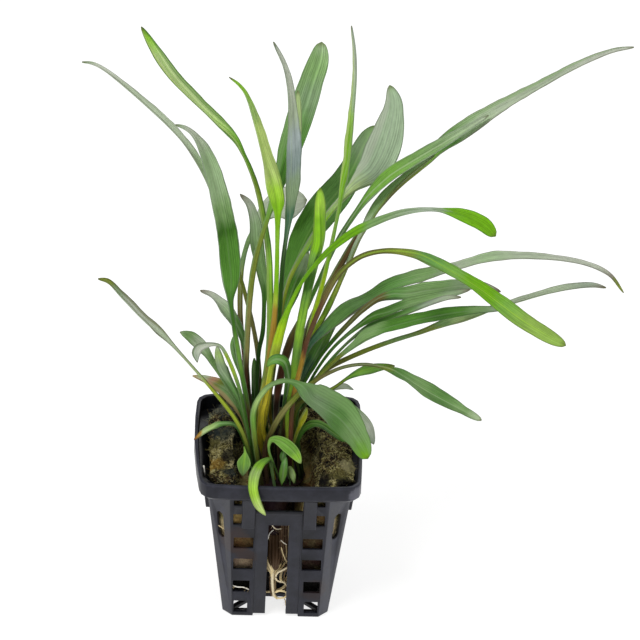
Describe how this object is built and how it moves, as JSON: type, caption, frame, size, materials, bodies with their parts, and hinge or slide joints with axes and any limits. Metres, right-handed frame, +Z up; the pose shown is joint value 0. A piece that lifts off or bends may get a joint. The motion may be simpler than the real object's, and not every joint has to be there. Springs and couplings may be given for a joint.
{
  "type": "potted cryptocoryne",
  "caption": "Young cryptocoryne aquarium plant with long arching lance-shaped leaves, rooted in mossy stone wool in a small square net pot of black plastic.",
  "frame": {"origin": "centre of the underside of the pot's floor hub, on the surface that the pot stands on", "axes": "+Z up, -Y out of the pot face that the picture shows, with the small leaf hanging over the rim, +X towards the side where the long leaves arch over"},
  "size_m": [0.1846, 0.0862, 0.2212],
  "materials": {
    "pot_plastic": "satin black moulded plastic",
    "wool_moss": "wet fibrous wool with brown and olive moss",
    "crown_brown": "dull dark brown rootstock",
    "root_tan": "pale tan root",
    "leaf_green": "satin dark green leaf",
    "leaf_lime": "satin yellow-green leaf",
    "leaf_grey_green": "matt grey-green leaf"
  },
  "bodies": {
    "root": {"crown": "crown_brown", "leaf_arch_under_broad": "leaf_green", "leaf_bright_lime": "leaf_lime", "leaf_bright_tip": "leaf_lime", "leaf_broad_front": "leaf_green", "leaf_broad_left": "leaf_green", "leaf_dark_broad": "leaf_green", "leaf_dark_centre": "leaf_green", "leaf_dark_inner": "leaf_green", "leaf_dark_inner_right": "leaf_green", "leaf_dark_low_right": "leaf_green", "leaf_dark_right": "leaf_green", "leaf_dark_strip": "leaf_green", "leaf_decayed_tip": "leaf_green", "leaf_far_left": "leaf_green", "leaf_front_right": "leaf_green", "leaf_furled": "leaf_lime", "leaf_great_arch": "leaf_green", "leaf_green_right": "leaf_green", "leaf_green_top": "leaf_green", "leaf_grey_far_right": "leaf_grey_green", "leaf_grey_left": "leaf_grey_green", "leaf_grey_narrow": "leaf_grey_green", "leaf_grey_upright": "leaf_grey_green", "leaf_heart": "leaf_green", "leaf_left_curled": "leaf_green", "leaf_left_green": "leaf_green", "leaf_left_pale": "leaf_grey_green", "leaf_left_pointed": "leaf_green", "leaf_lime_behind": "leaf_green", "leaf_long_left": "leaf_green", "leaf_long_right": "leaf_green", "leaf_long_right_green": "leaf_green", "leaf_long_right_grey": "leaf_grey_green", "leaf_low_left": "leaf_green", "leaf_low_right": "leaf_green", "leaf_lower_left_inner": "leaf_green", "leaf_olive_far_right": "leaf_green", "leaf_over_rim": "leaf_lime", "leaf_pale_broad": "leaf_grey_green", "leaf_pale_far": "leaf_grey_green", "leaf_pale_over_edge": "leaf_grey_green", "leaf_small_arch": "leaf_green", "leaf_small_grey_right": "leaf_grey_green", "leaf_tall_thin": "leaf_green", "leaf_tiny_dark": "leaf_green", "leaf_tiny_drooping": "leaf_green", "leaf_tiny_pale": "leaf_grey_green", "leaf_top_left": "leaf_lime", "leaf_yellow_small": "leaf_green", "pot": "pot_plastic", "root_cross": "root_tan", "root_loop": "root_tan", "root_middle": "root_tan", "root_side": "root_tan", "wool": "wool_moss"}
  },
  "joints": []
}
